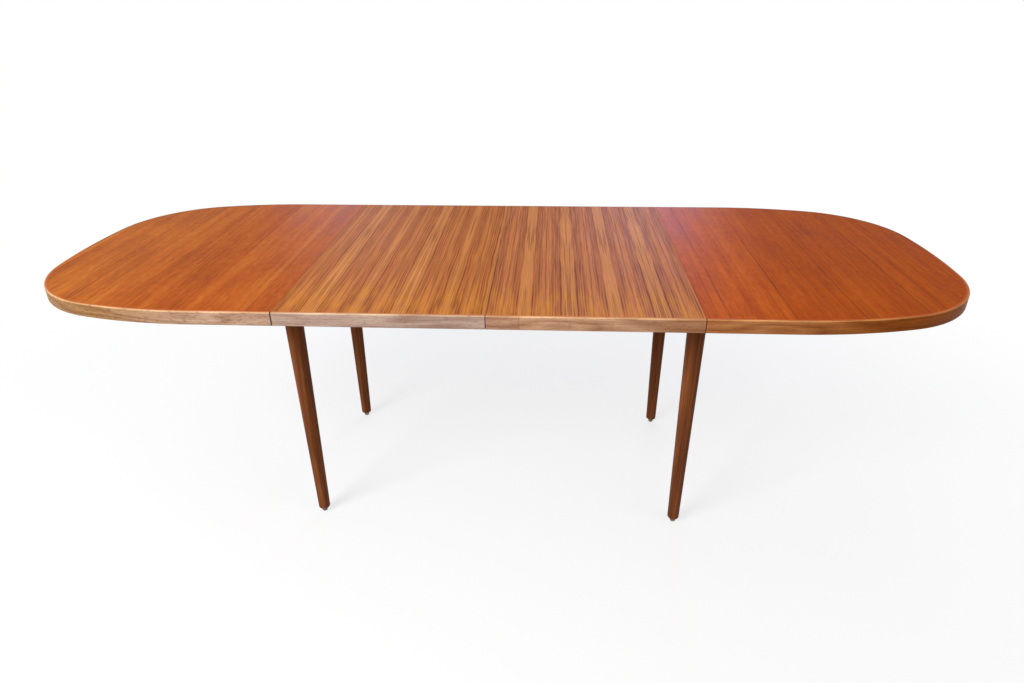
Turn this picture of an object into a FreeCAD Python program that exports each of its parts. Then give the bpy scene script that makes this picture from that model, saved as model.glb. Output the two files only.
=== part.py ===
# Oval extension dining table with two sliding end tops, two loose leaves and four turned legs.
# Millimetres, +Z up. The origin is on the floor under the middle of the top.
# +X runs along the table and -Y is the front.
import FreeCAD
import Part
import math
import os

from FreeCAD import Vector

# Top
top_height = 738.0
top_depth = 890.0
leaf_width = 495.0
end_length = 700.0
seam_gap = 0.6

# Curve of the end tops: a straight side, a wide shoulder, a tight corner and a wide end
side_straight = 202.0
corner_radius = 293.0
side_fall = 25.8
end_fall = 6.4

# Panels
panel_thickness = 22.0
veneer_thickness = 0.8
lipping_thickness = 8.0
lipping_height = 34.0
lipping_top_round = 3.5
lipping_bottom_chamfer = 2.0
packer_width = 30.0
seam_strip_thickness = 4.0

# Legs and their glides
leg_spacing_along = 1036.0
leg_spacing_across = 522.0
leg_top_diameter = 49.0
leg_foot_diameter = 32.5
leg_foot_chamfer = 4.0
leg_top_clearance = 1.0
glide_diameter = 17.0
glide_flat_diameter = 9.0
glide_height = 14.0
glide_rim_height = 6.0
glide_nail_diameter = 3.0
glide_nail_length = 16.0

# Base frame
rail_height = 68.0
rail_thickness = 22.0
end_rail_clearance = 1.0
tenon_thickness = 10.0
tenon_height = 46.0
tenon_end_gap = 2.0
bearer_spacing = 340.0
bearer_width = 60.0
bearer_tenon_length = 10.0
bearer_tenon_width = 40.0
bearer_tenon_height = 12.0
corner_block_reach = 75.0
corner_block_leg_clearance = 4.0
corner_block_runner_clearance = 2.0

# Guides fixed in the base, and runners fixed under the end tops
guide_width = 20.0
guide_top_clearance = 4.0
guide_tenon_length = 8.0
guide_tenon_width = 12.0
guide_tenon_height = 24.0
tongue_height = 8.0
tongue_depth = 7.0
tongue_clearance = 0.3
runner_width = 30.0
runner_height = 42.0
runner_inner_end = 40.0
runner_tip_margin = 95.0
runner_bevel = 22.0
runner_side_clearance = 0.4

# Stop pegs, which end the draw of the end tops
draw_travel = 80.0
stop_diameter = 10.0
stop_projection = 10.0
stop_depth = 16.0
stop_clearance = 0.3
stop_apron_clearance = 14.6

# Runner screws
screw_diameter = 4.5
screw_head_diameter = 9.0
screw_head_height = 3.5
screw_bite = 13.0
counterbore_diameter = 11.0
counterbore_depth = 20.0
screw_place_shares = (0.12, 0.85)

# Locating pins in the inner edges of the end tops
pin_diameter = 8.0
pin_projection = 10.0
pin_depth = 22.0
pin_clearance = 0.3
pin_outer_share = 0.67
pin_inner_share = 0.22

# How far a cutting solid runs past the faces that it cuts, and how near counts as touching
overrun = 2.0
fit_tolerance = 0.001

# Signs of the two ends along X and of the two long sides along Y
sides = {"left": -1, "right": 1}
faces = {"front": -1, "back": 1}

# Levels worked out from the sizes above
panel_bottom = top_height - panel_thickness
core_top = top_height - veneer_thickness
core_bottom = panel_bottom + veneer_thickness
lipping_bottom = top_height - lipping_height
rail_bottom = panel_bottom - rail_height
end_rail_top = panel_bottom - end_rail_clearance
rail_middle = panel_bottom - rail_height / 2
leg_top = panel_bottom - leg_top_clearance
runner_bottom = panel_bottom - runner_height
tongue_middle = panel_bottom - runner_height / 2
guide_top = panel_bottom - guide_top_clearance
bearer_middle = (rail_bottom + runner_bottom) / 2
screw_seat = runner_bottom + counterbore_depth
pin_level = top_height - panel_thickness / 2

# Places worked out from the sizes above
half_depth = top_depth / 2
panel_half_depth = half_depth - lipping_thickness
end_seam = leaf_width + seam_gap / 2
leg_along = leg_spacing_along / 2
leg_across = leg_spacing_across / 2
apron_inner_face = leg_across - rail_thickness / 2
end_rail_inner_face = leg_along - rail_thickness / 2
tenon_stop = tenon_thickness / 2 + tenon_end_gap
outer_runner_face = apron_inner_face - stop_apron_clearance - stop_projection
guide_across = outer_runner_face - runner_width - runner_side_clearance - guide_width / 2
runner_outer_end = leaf_width + end_length - runner_tip_margin
stop_along = end_rail_inner_face - draw_travel - stop_clearance - stop_diameter / 2


def block(corner, opposite):
    """Box between two opposite corners, given in any order."""
    low = Vector(min(corner.x, opposite.x), min(corner.y, opposite.y), min(corner.z, opposite.z))
    high = Vector(max(corner.x, opposite.x), max(corner.y, opposite.y), max(corner.z, opposite.z))
    size = high - low
    return Part.makeBox(size.x, size.y, size.z, low)


def prism(points, sweep):
    """Solid made by sweeping a closed flat polygon."""
    outline = Part.makePolygon(points + points[:1])
    return Part.Face(outline).extrude(sweep)


def rod(start, end, diameter):
    """Round rod between the centres of its two end faces."""
    axis = end - start
    return Part.makeCylinder(diameter / 2, axis.Length, start, axis)


def turned(steps, place):
    """Solid turned about a vertical axis at a place on the floor, from (radius, level) steps."""
    points = [Vector(radius, 0, level) for radius, level in steps]
    profile = Part.Face(Part.makePolygon(points + points[:1]))
    solid = profile.revolve(Vector(), Vector(0, 0, 1), 360)
    return solid.translated(place)


# End tops

def arc(start, stop, centre):
    """Arc about a centre, the short way round."""
    middle = (start - centre) + (stop - centre)
    return Part.Arc(start, centre + middle.normalize() * (start - centre).Length, stop).toShape()


def seam_point(side, face, inset):
    """Point where the rim of an end top, moved inwards by inset, meets the seam."""
    return Vector(side * end_seam, face * (half_depth - inset), 0)


def end_rim(side, inset):
    """Rim of an end top from seam to seam, moved inwards by inset.

    The corner arc stands in from the side by side_fall and from the tip by end_fall. The shoulder and
    the end are the arcs that run into it without a kink from the straight side and from the tip.
    """
    corner = Vector(end_length - corner_radius - end_fall, half_depth - corner_radius - side_fall, 0)
    shoulder_radius = ((corner.x - side_straight) ** 2 + (half_depth - corner.y) ** 2
                       - corner_radius ** 2) / (2 * side_fall)
    end_radius = ((end_length - corner.x) ** 2 + corner.y ** 2 - corner_radius ** 2) / (2 * end_fall)
    shoulder = Vector(side_straight, half_depth - shoulder_radius, 0)
    end = Vector(end_length - end_radius, 0, 0)
    straight_end = Vector(side_straight, half_depth - inset, 0)
    corner_start = shoulder + (corner - shoulder).normalize() * (shoulder_radius - inset)
    corner_end = end + (corner - end).normalize() * (end_radius - inset)

    def placed(point, face):
        return Vector(side * (leaf_width + point.x), face * point.y, 0)

    edges = [arc(placed(corner_end, -1), placed(corner_end, 1), placed(end, 1))]
    for face in faces.values():
        start = placed(straight_end, face)
        edges.append(Part.makeLine(seam_point(side, face, inset), start))
        edges.append(arc(start, placed(corner_start, face), placed(shoulder, face)))
        edges.append(arc(placed(corner_start, face), placed(corner_end, face), placed(corner, face)))
    return Part.Wire(Part.__sortEdges__(edges))


def upright(edges, bottom, top):
    """Solid that stands on a closed flat outline between two levels."""
    outline = Part.Wire(Part.__sortEdges__(edges))
    solid = Part.Face(outline).extrude(Vector(0, 0, top - bottom))
    return solid.translated(Vector(0, 0, bottom))


def end_panel(side, inset, bottom, top):
    """D-shaped board inside the rim of an end top."""
    seam = Part.makeLine(seam_point(side, -1, inset), seam_point(side, 1, inset))
    return upright(end_rim(side, inset).Edges + [seam], bottom, top)


def end_band(side, outer_inset, inner_inset, bottom, top):
    """Band that follows the rim of an end top between two insets."""
    edges = end_rim(side, outer_inset).Edges + end_rim(side, inner_inset).Edges
    for face in faces.values():
        edges.append(Part.makeLine(seam_point(side, face, outer_inset), seam_point(side, face, inner_inset)))
    return upright(edges, bottom, top)


def edges_along(solid, rim, level):
    """Edges of a solid that run along a rim at one level."""
    raised = rim.translated(Vector(0, 0, level))
    found = []
    for edge in solid.Edges:
        middle = edge.valueAt((edge.FirstParameter + edge.LastParameter) / 2)
        if raised.distToShape(Part.Vertex(middle))[0] < fit_tolerance:
            found.append(edge)
    return found


def end_lipping(side):
    """Solid lipping round an end top, rounded along its top edge and chamfered along its bottom edge."""
    band = end_band(side, 0, lipping_thickness, lipping_bottom, top_height)
    rim = end_rim(side, 0)
    band = band.makeFillet(lipping_top_round, edges_along(band, rim, top_height))
    return band.makeChamfer(lipping_bottom_chamfer, edges_along(band, rim, lipping_bottom))


def pin_places(side, mating=False):
    """Places across the table of an end top's pins, or of the slots for the other top's pins."""
    turn = -side if mating else side
    return (turn * pin_outer_share * half_depth, -turn * pin_inner_share * half_depth)


def pin(side, across):
    """Locating pin set in the inner edge of an end top."""
    inside = Vector(side * (end_seam + pin_depth), across, pin_level)
    tip = Vector(side * (end_seam - pin_projection), across, pin_level)
    return rod(inside, tip, pin_diameter)


def pin_slot(edge_along, direction, across):
    """Slot for a pin, cut into an edge and open below, so that the piece drops over the pin."""
    half_width = pin_diameter / 2 + pin_clearance
    mouth = Vector(edge_along - direction * overrun, across - half_width, panel_bottom - overrun)
    end = Vector(edge_along + direction * (pin_projection + pin_clearance), across + half_width,
                 pin_level + half_width)
    return block(mouth, end)


def runner_faces(side):
    """Distances across of a runner's face at the guide and of its free face.

    The left top's runners pass outside the guides and the right top's inside, so they pass each other.
    """
    guide_face = guide_across - side * (guide_width / 2 + runner_side_clearance)
    return guide_face, guide_face - side * runner_width


def runner_screw_places(side):
    """Places along the table of the screws of one runner."""
    length = runner_outer_end - leaf_width
    return [side * (leaf_width + share * length) for share in screw_place_shares]


def screw(along, across):
    """Screw driven up through a runner into the panel."""
    seat = Vector(along, across, screw_seat)
    head = rod(seat - Vector(0, 0, screw_head_height), seat, screw_head_diameter)
    shank = rod(seat, Vector(along, across, panel_bottom + screw_bite), screw_diameter)
    return head.fuse(shank).removeSplitter()


def runner_stop(side, face):
    """Peg in a runner's free face, which meets the end rail when the top is fully drawn."""
    free_face = runner_faces(side)[1]
    inside = Vector(side * stop_along, face * (free_face + side * stop_depth), tongue_middle)
    tip = Vector(side * stop_along, face * (free_face - side * stop_projection), tongue_middle)
    return rod(inside, tip, stop_diameter)


def runner(side, face):
    """Grooved runner under an end top, bevelled at its outer end and bored for screws and stop."""
    guide_face, free_face = runner_faces(side)
    bar = block(Vector(side * runner_inner_end, face * guide_face, runner_bottom),
                Vector(side * runner_outer_end, face * free_face, panel_bottom))
    groove_half = tongue_height / 2 + tongue_clearance
    groove_floor = guide_face - side * tongue_depth
    groove = block(Vector(side * (runner_inner_end - overrun), face * (guide_face + side * overrun),
                          tongue_middle - groove_half),
                   Vector(side * (runner_outer_end + overrun), face * groove_floor,
                          tongue_middle + groove_half))
    bevel = prism([Vector(side * runner_outer_end, face * guide_face, runner_bottom),
                   Vector(side * (runner_outer_end - runner_bevel), face * guide_face, runner_bottom),
                   Vector(side * runner_outer_end, face * guide_face, runner_bottom + runner_bevel)],
                  Vector(0, face * (free_face - guide_face), 0))
    across = face * (guide_face + free_face) / 2
    cuts = [groove, bevel, runner_stop(side, face)]
    for along in runner_screw_places(side):
        cuts.append(screw(along, across))
        cuts.append(rod(Vector(along, across, runner_bottom - overrun),
                        Vector(along, across, screw_seat), counterbore_diameter))
    return bar.cut(cuts)


def end_top(name, side):
    """All the pieces of one end top, by node name."""
    runner_middle = sum(runner_faces(side)) / 2
    screws = [screw(along, face * runner_middle)
              for face in faces.values() for along in runner_screw_places(side)]
    pins = [pin(side, across) for across in pin_places(side)]
    slots = [pin_slot(side * end_seam, side, across) for across in pin_places(side, mating=True)]
    strip = block(Vector(side * end_seam, -panel_half_depth, core_bottom),
                  Vector(side * (end_seam + seam_strip_thickness), panel_half_depth, core_top))
    core = end_panel(side, lipping_thickness, core_bottom, core_top)
    backing = end_panel(side, lipping_thickness, panel_bottom, core_bottom)
    pieces = {
        f"{name}_top_core": core.cut([strip] + screws + pins + slots),
        f"{name}_top_face_veneer": end_panel(side, lipping_thickness, core_top, top_height),
        f"{name}_top_back_veneer": backing.cut(screws + slots),
        f"{name}_top_lipping": end_lipping(side),
        f"{name}_top_packer": end_band(side, lipping_thickness, lipping_thickness + packer_width,
                                       lipping_bottom, panel_bottom),
        f"{name}_top_seam_strip": strip.cut(pins + slots),
        f"{name}_top_pins": Part.makeCompound(pins),
        f"{name}_runner_screws": Part.makeCompound(screws),
        f"{name}_runner_stops": Part.makeCompound([runner_stop(side, face) for face in faces.values()]),
    }
    for face_name, face in faces.items():
        pieces[f"{name}_runner_{face_name}"] = runner(side, face)
    return pieces


# Leaves

def leaf_lipping(inner, outer, face):
    """Straight lipping along the front or back of a leaf, with the section of the end lippings."""
    rim = face * half_depth
    glue_line = face * panel_half_depth
    round_start = rim - face * lipping_top_round
    diagonal = math.sqrt(0.5)
    top_round = Part.Arc(Vector(inner, round_start, top_height),
                         Vector(inner, round_start + face * lipping_top_round * diagonal,
                                top_height - lipping_top_round * (1 - diagonal)),
                         Vector(inner, rim, top_height - lipping_top_round)).toShape()
    outline = [Vector(inner, rim, top_height - lipping_top_round),
               Vector(inner, rim, lipping_bottom + lipping_bottom_chamfer),
               Vector(inner, rim - face * lipping_bottom_chamfer, lipping_bottom),
               Vector(inner, glue_line, lipping_bottom),
               Vector(inner, glue_line, top_height),
               Vector(inner, round_start, top_height)]
    lines = [Part.makeLine(start, end) for start, end in zip(outline, outline[1:])]
    return Part.Face(Part.Wire([top_round] + lines)).extrude(Vector(outer - inner, 0, 0))


def leaf(name, side):
    """All the pieces of one leaf, by node name."""
    inner = side * seam_gap / 2
    outer = side * (leaf_width - seam_gap / 2)
    strip = side * seam_strip_thickness
    slots = [pin_slot(outer, -side, across) for across in pin_places(side)]

    def layer(start, end, bottom, top):
        return block(Vector(start, -panel_half_depth, bottom), Vector(end, panel_half_depth, top))

    pieces = {
        f"{name}_leaf_core": layer(inner + strip, outer - strip, core_bottom, core_top).cut(slots),
        f"{name}_leaf_face_veneer": layer(inner, outer, core_top, top_height),
        f"{name}_leaf_back_veneer": layer(inner, outer, panel_bottom, core_bottom).cut(slots),
        f"{name}_leaf_inner_strip": layer(inner, inner + strip, core_bottom, core_top),
        f"{name}_leaf_outer_strip": layer(outer - strip, outer, core_bottom, core_top).cut(slots),
    }
    for face_name, face in faces.items():
        pieces[f"{name}_leaf_{face_name}_lipping"] = leaf_lipping(inner, outer, face)
        pieces[f"{name}_leaf_{face_name}_packer"] = block(
            Vector(inner, face * panel_half_depth, lipping_bottom),
            Vector(outer, face * (panel_half_depth - packer_width), panel_bottom))
    return pieces


# Base

def leg_radius(level):
    """Radius of a leg's straight taper at one level."""
    share = (level - glide_height) / (leg_top - glide_height)
    return (leg_foot_diameter + share * (leg_top_diameter - leg_foot_diameter)) / 2


def leg_place(side, face):
    """Place of a leg's axis on the floor."""
    return Vector(side * leg_along, face * leg_across, 0)


def leg_cope(side, face):
    """Taper of a leg over the height of the rails, which shapes their shoulders."""
    bottom = rail_bottom - overrun
    top = panel_bottom + overrun
    cone = Part.makeCone(leg_radius(bottom), leg_radius(top), top - bottom)
    return cone.translated(leg_place(side, face) + Vector(0, 0, bottom))


def apron_tenon(side, face):
    """Tenon of an apron inside a leg."""
    half_height = tenon_height / 2
    half_thickness = tenon_thickness / 2
    return block(Vector(side * (leg_along - leg_top_diameter), face * leg_across - half_thickness,
                        rail_middle - half_height),
                 Vector(side * (leg_along - tenon_stop), face * leg_across + half_thickness,
                        rail_middle + half_height))


def end_rail_tenon(side, face):
    """Tenon of an end rail inside a leg."""
    half_height = tenon_height / 2
    half_thickness = tenon_thickness / 2
    return block(Vector(side * leg_along - half_thickness, face * (leg_across - leg_top_diameter),
                        rail_middle - half_height),
                 Vector(side * leg_along + half_thickness, face * (leg_across - tenon_stop),
                        rail_middle + half_height))


def glide(side, face):
    """Bevelled glide under a leg, with its nail."""
    rim = glide_diameter / 2
    shank = glide_nail_diameter / 2
    nail_top = glide_height + glide_nail_length
    steps = [(0, 0), (glide_flat_diameter / 2, 0), (rim, glide_height - glide_rim_height),
             (rim, glide_height), (shank, glide_height), (shank, nail_top), (0, nail_top)]
    return turned(steps, leg_place(side, face))


def leg(side, face):
    """Turned leg with a straight taper, mortised for two rails and bored for the glide's nail."""
    taper_start = glide_height + leg_foot_chamfer
    steps = [(0, glide_height), (leg_radius(glide_height) - leg_foot_chamfer, glide_height),
             (leg_radius(taper_start), taper_start), (leg_radius(leg_top), leg_top), (0, leg_top)]
    body = turned(steps, leg_place(side, face))
    return body.cut([apron_tenon(side, face), end_rail_tenon(side, face), glide(side, face)])


def bearer_tenon(side, face):
    """Tenon of a bearer inside an apron."""
    middle = side * bearer_spacing / 2
    half_width = bearer_tenon_width / 2
    half_height = bearer_tenon_height / 2
    return block(Vector(middle - half_width, face * (apron_inner_face - rail_thickness),
                        bearer_middle - half_height),
                 Vector(middle + half_width, face * (apron_inner_face + bearer_tenon_length),
                        bearer_middle + half_height))


def apron(face):
    """Long rail between two legs, with coped shoulders, tenons and mortises for the bearers."""
    half_thickness = rail_thickness / 2
    bar = block(Vector(-leg_along, face * leg_across - half_thickness, rail_bottom),
                Vector(leg_along, face * leg_across + half_thickness, panel_bottom))
    bar = bar.cut([leg_cope(side, face) for side in sides.values()])
    bar = bar.fuse([apron_tenon(side, face) for side in sides.values()]).removeSplitter()
    return bar.cut([bearer_tenon(side, face) for side in sides.values()])


def guide_tenon(side, face):
    """Stub tenon of a guide inside an end rail."""
    half_width = guide_tenon_width / 2
    half_height = guide_tenon_height / 2
    middle = (runner_bottom + guide_top) / 2
    return block(Vector(side * (end_rail_inner_face - guide_tenon_length), face * guide_across - half_width,
                        middle - half_height),
                 Vector(side * (end_rail_inner_face + guide_tenon_length), face * guide_across + half_width,
                        middle + half_height))


def end_rail(side):
    """Short rail between two legs, notched for the runners of its end top."""
    half_thickness = rail_thickness / 2
    bar = block(Vector(side * leg_along - half_thickness, -leg_across, rail_bottom),
                Vector(side * leg_along + half_thickness, leg_across, end_rail_top))
    bar = bar.cut([leg_cope(side, face) for face in faces.values()])
    bar = bar.fuse([end_rail_tenon(side, face) for face in faces.values()]).removeSplitter()
    low, high = sorted(runner_faces(side))
    reach = half_thickness + overrun
    for face in faces.values():
        notch = block(Vector(side * leg_along - reach, face * (low - runner_side_clearance), runner_bottom),
                      Vector(side * leg_along + reach, face * (high + runner_side_clearance),
                             end_rail_top + overrun))
        bar = bar.cut([notch, guide_tenon(side, face)])
    return bar


def bearer(side):
    """Cross rail between the aprons, which carries the guides and the inner ends of the runners."""
    middle = side * bearer_spacing / 2
    bar = block(Vector(middle - bearer_width / 2, -apron_inner_face, rail_bottom),
                Vector(middle + bearer_width / 2, apron_inner_face, runner_bottom))
    return bar.fuse([bearer_tenon(side, face) for face in faces.values()]).removeSplitter()


def guide(face):
    """Fixed guide with a tongue along each side, for the runners of both end tops."""
    half_width = guide_width / 2
    tongue_reach = half_width + runner_side_clearance + tongue_depth - tongue_clearance
    half_tongue = tongue_height / 2
    half_outline = [(half_width, runner_bottom), (half_width, tongue_middle - half_tongue),
                    (tongue_reach, tongue_middle - half_tongue), (tongue_reach, tongue_middle + half_tongue),
                    (half_width, tongue_middle + half_tongue), (half_width, guide_top)]
    mirrored = [(-across, level) for across, level in reversed(half_outline)]
    outline = [Vector(-end_rail_inner_face, face * guide_across + across, level)
               for across, level in half_outline + mirrored]
    bar = prism(outline, Vector(2 * end_rail_inner_face, 0, 0))
    return bar.fuse([guide_tenon(side, face) for side in sides.values()]).removeSplitter()


def corner_block(side, face):
    """Glue block in a corner of the frame, cut back to clear the leg and kept below the runners."""
    nose = math.sqrt(2) * (leg_top_diameter / 2 + corner_block_leg_clearance) - rail_thickness
    steps = [(nose, 0), (corner_block_reach, 0), (0, corner_block_reach), (0, nose)]
    outline = [Vector(side * (end_rail_inner_face - along), face * (apron_inner_face - across), rail_bottom)
               for along, across in steps]
    height = runner_bottom - corner_block_runner_clearance - rail_bottom
    return prism(outline, Vector(0, 0, height))


def base():
    """All the pieces of the base, by node name."""
    pieces = {}
    for side_name, side in sides.items():
        pieces[f"end_rail_{side_name}"] = end_rail(side)
        pieces[f"bearer_{side_name}"] = bearer(side)
    for face_name, face in faces.items():
        pieces[f"apron_{face_name}"] = apron(face)
        pieces[f"guide_{face_name}"] = guide(face)
    glides = []
    for face_name, face in faces.items():
        for side_name, side in sides.items():
            pieces[f"leg_{face_name}_{side_name}"] = leg(side, face)
            pieces[f"corner_block_{face_name}_{side_name}"] = corner_block(side, face)
            glides.append(glide(side, face))
    pieces["foot_glides"] = Part.makeCompound(glides)
    return pieces


def main():
    """Build every piece and write one file for each."""
    os.makedirs("parts", exist_ok=True)
    pieces = base()
    for name, side in sides.items():
        pieces.update(end_top(name, side))
        pieces.update(leaf(name, side))
    for name, shape in pieces.items():
        shape.exportStep(os.path.join("parts", f"{name}.step"))


main()
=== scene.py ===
"""Looks of the oval extension dining table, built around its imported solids.

Metres, +Z up. The origin is on the floor under the middle of the top. +X runs along the table and -Y faces
the viewer.
"""
import logging
import math
from dataclasses import dataclass, field, replace
from enum import Enum
from functools import cache
from typing import Any, NamedTuple, Sequence

import bpy
import numpy as np
from mathutils import Matrix, Vector


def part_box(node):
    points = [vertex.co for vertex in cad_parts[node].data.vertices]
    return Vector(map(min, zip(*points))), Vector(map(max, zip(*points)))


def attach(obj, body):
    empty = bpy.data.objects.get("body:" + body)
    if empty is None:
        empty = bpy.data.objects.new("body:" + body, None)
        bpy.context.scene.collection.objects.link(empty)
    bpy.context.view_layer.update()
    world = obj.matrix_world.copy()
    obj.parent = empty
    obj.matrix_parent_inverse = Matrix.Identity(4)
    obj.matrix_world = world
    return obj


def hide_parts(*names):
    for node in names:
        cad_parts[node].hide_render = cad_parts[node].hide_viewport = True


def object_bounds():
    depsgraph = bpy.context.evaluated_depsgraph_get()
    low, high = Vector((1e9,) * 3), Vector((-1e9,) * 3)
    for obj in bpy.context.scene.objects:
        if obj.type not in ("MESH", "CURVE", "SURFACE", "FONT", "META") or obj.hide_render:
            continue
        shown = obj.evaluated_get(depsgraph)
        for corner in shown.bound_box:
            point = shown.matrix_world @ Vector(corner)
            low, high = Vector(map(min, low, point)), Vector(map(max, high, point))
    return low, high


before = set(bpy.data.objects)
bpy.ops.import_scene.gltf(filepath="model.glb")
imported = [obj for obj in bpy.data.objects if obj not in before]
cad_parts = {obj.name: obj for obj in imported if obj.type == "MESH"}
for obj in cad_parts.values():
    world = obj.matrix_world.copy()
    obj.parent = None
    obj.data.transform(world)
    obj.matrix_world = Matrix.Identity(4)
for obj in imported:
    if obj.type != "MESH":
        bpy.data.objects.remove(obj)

cad_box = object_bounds()
log = logging.getLogger("dining_table")

Colour = tuple[float, float, float]
Display = tuple[int, int, int]
Span = tuple[float, float]
Material = bpy.types.Material
Socket = bpy.types.NodeSocket
Place = tuple[Socket, Socket, Socket]
Stops = Sequence[tuple[float, Colour]]

SMOOTH_ANGLE = math.radians(35)
SOFT_ANGLE = math.radians(50)
SOFT_SEGMENTS = 2
WELD_DISTANCE = 0.00002
QUARTER_TURN = math.pi / 2
MIDDLE_TONE = 0.5
WHITE = (1.0, 1.0, 1.0)
BLACK = (0.0, 0.0, 0.0)


class Sign(Enum):
    """A direction, by its sign along an axis."""

    @property
    def word(self) -> str:
        """Word that node names use for this direction."""
        return self.name.lower()


class Side(Sign):
    """The two ends of the table, by their sign along X."""

    LEFT = -1
    RIGHT = 1


class Face(Sign):
    """The two long sides of the table, by their sign along Y."""

    FRONT = -1
    BACK = 1


class Grain(Enum):
    """How the grain of a piece runs: along an axis, or along the first axis of its UV map."""

    ALONG_X = 0
    ALONG_Y = 1
    ALONG_Z = 2
    ALONG_UV = 3


def linear(display: Display) -> Colour:
    """Linear colour of a display colour.

    Each channel c, as a share of 255, becomes ((c + 0.055) / 1.055) to the power 2.4, or c / 12.92 if dark.

    Args:
        display: Red, green and blue from 0 to 255.

    Returns:
        The three linear channels.
    """
    shares = np.array(display) / 255
    bright = ((shares + 0.055) / 1.055) ** 2.4
    return tuple(float(channel) for channel in np.where(shares > 0.04045, bright, shares / 12.92))


# Node trees

@dataclass(frozen=True)
class Pattern:
    """Noise from 0 to 1, drawn out along the grain.

    Along and across count its cells per metre. Detail is its octaves of finer noise, and roughness is their
    strength. The seed sets it apart from other patterns. A window carries the noise inside it to the span of
    results, and holds the rest at the ends. Amount is how far the pattern moves a value.
    """

    along: float
    across: float
    detail: float = 2.0
    roughness: float = 0.5
    seed: float = 0.0
    window: Span | None = None
    results: Span = (0.0, 1.0)
    amount: float = 1.0


class Layer(NamedTuple):
    """Drawn noise, and how far it moves a value: a number or a socket."""

    noise: Socket
    amount: Any


class Recipe:
    """Node tree of one procedural material or world, built step by step."""

    def __init__(self, block: Material | bpy.types.World) -> None:
        """Start with an empty tree.

        Args:
            block: New material or world.
        """
        block.use_nodes = True
        self.block = block
        self.tree = block.node_tree
        self.tree.nodes.clear()

    def feed(self, socket: Socket, value: Any) -> None:
        """Link a socket to another socket, or set its constant value.

        Args:
            socket: Input to feed.
            value: Output socket of another node, or a constant.
        """
        if isinstance(value, Socket):
            self.tree.links.new(value, socket)
        elif socket.type == "RGBA":
            socket.default_value = (*value, 1.0)
        else:
            socket.default_value = value

    def add(self, kind: str, inputs: dict[Any, Any], **settings: Any) -> bpy.types.Node:
        """Add a node.

        Args:
            kind: Blender's name of the node type.
            inputs: Values or sockets for the node's inputs, by name or index.
            settings: Attributes of the node.

        Returns:
            The new node.
        """
        node = self.tree.nodes.new(kind)
        for key, value in settings.items():
            setattr(node, key, value)
        for key, value in inputs.items():
            self.feed(node.inputs[key], value)
        return node

    def place(self, grain: Grain) -> Place:
        """Coordinates on the piece, in metres.

        Args:
            grain: How the grain runs.

        Returns:
            Sockets for the coordinate along the grain and the two across it.
        """
        source = "UV" if grain is Grain.ALONG_UV else "Object"
        place = self.add("ShaderNodeTexCoord", {}).outputs[source]
        parts = self.add("ShaderNodeSeparateXYZ", {0: place}).outputs
        order = {Grain.ALONG_Y: (1, 0, 2), Grain.ALONG_Z: (2, 0, 1)}.get(grain, (0, 1, 2))
        return parts[order[0]], parts[order[1]], parts[order[2]]

    def math(self, operation: str, *values: Any) -> Socket:
        """Result of a math node, by Blender's name of the operation, on up to three sockets or numbers."""
        return self.add("ShaderNodeMath", dict(enumerate(values)), operation=operation).outputs[0]

    def vector(self, x: Any, y: Any, z: Any) -> Socket:
        """Vector of three numbers or sockets."""
        return self.add("ShaderNodeCombineXYZ", {0: x, 1: y, 2: z}).outputs[0]

    def span(self, value: Any, low: float, high: float, to_low: float = 0.0, to_high: float = 1.0) -> Socket:
        """Value carried smoothly from the span low to high to the span of results, and held at its ends."""
        inputs = {"Value": value, "From Min": low, "From Max": high, "To Min": to_low, "To Max": to_high}
        return self.add("ShaderNodeMapRange", inputs, interpolation_type="SMOOTHSTEP").outputs[0]

    def patterns(self, place: Place, seed: Any, *patterns: Pattern) -> list[Layer]:
        """Noise of several patterns, at the same place.

        Args:
            place: Coordinates along the grain and two ways across it.
            seed: Number or socket that sets a piece apart from others, to which a pattern adds its own.
            patterns: Patterns to draw.

        Returns:
            One layer for each pattern.
        """
        drawn = []
        for pattern in patterns:
            start = self.math("ADD", seed, pattern.seed)
            along = self.math("MULTIPLY_ADD", place[0], pattern.along, start)
            across = [self.math("MULTIPLY", way, pattern.across) for way in place[1:]]
            inputs = {"Vector": self.vector(along, *across), "Scale": 1.0, "Detail": pattern.detail,
                      "Roughness": pattern.roughness}
            noise = self.add("ShaderNodeTexNoise", inputs, noise_dimensions="3D").outputs["Fac"]
            if pattern.window is not None:
                noise = self.span(noise, *pattern.window, *pattern.results)
            drawn.append(Layer(noise, pattern.amount))
        return drawn

    def vary(self, value: Any, noise: Socket, amount: float) -> Socket:
        """Value raised and lowered by noise from 0 to 1, by half the amount either way."""
        return self.math("ADD", self.math("MULTIPLY_ADD", noise, amount, -amount / 2), value)

    def layered(self, value: Any, *layers: Layer) -> Socket:
        """Value raised and lowered by several layers, as in vary.

        Args:
            value: Number or socket to vary.
            layers: Layers to vary it by.

        Returns:
            The varied value's socket.
        """
        for layer in layers:
            value = self.vary(value, *layer)
        return value

    def moved(self, value: Any, layer: Layer) -> Socket:
        """Value moved by a layer, only in the direction of its amount."""
        return self.math("MULTIPLY_ADD", *layer, value)

    def chance(self, value: Socket) -> Socket:
        """Random number from 0 to 1 that a value picks."""
        return self.add("ShaderNodeTexWhiteNoise", {"W": value}, noise_dimensions="1D").outputs["Value"]

    def ramp(self, value: Socket, stops: Stops) -> Socket:
        """Colour picked along a row of stops.

        Args:
            value: Place along the row, from 0 to 1.
            stops: Places and linear colours, in order.

        Returns:
            The colour's socket.
        """
        node = self.add("ShaderNodeValToRGB", {0: value})
        elements = node.color_ramp.elements
        for place, colour in stops[2:]:
            elements.new(place).color = (*colour, 1.0)
        for element, (place, colour) in zip(elements, stops):
            element.position = place
            element.color = (*colour, 1.0)
        return node.outputs[0]

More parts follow.
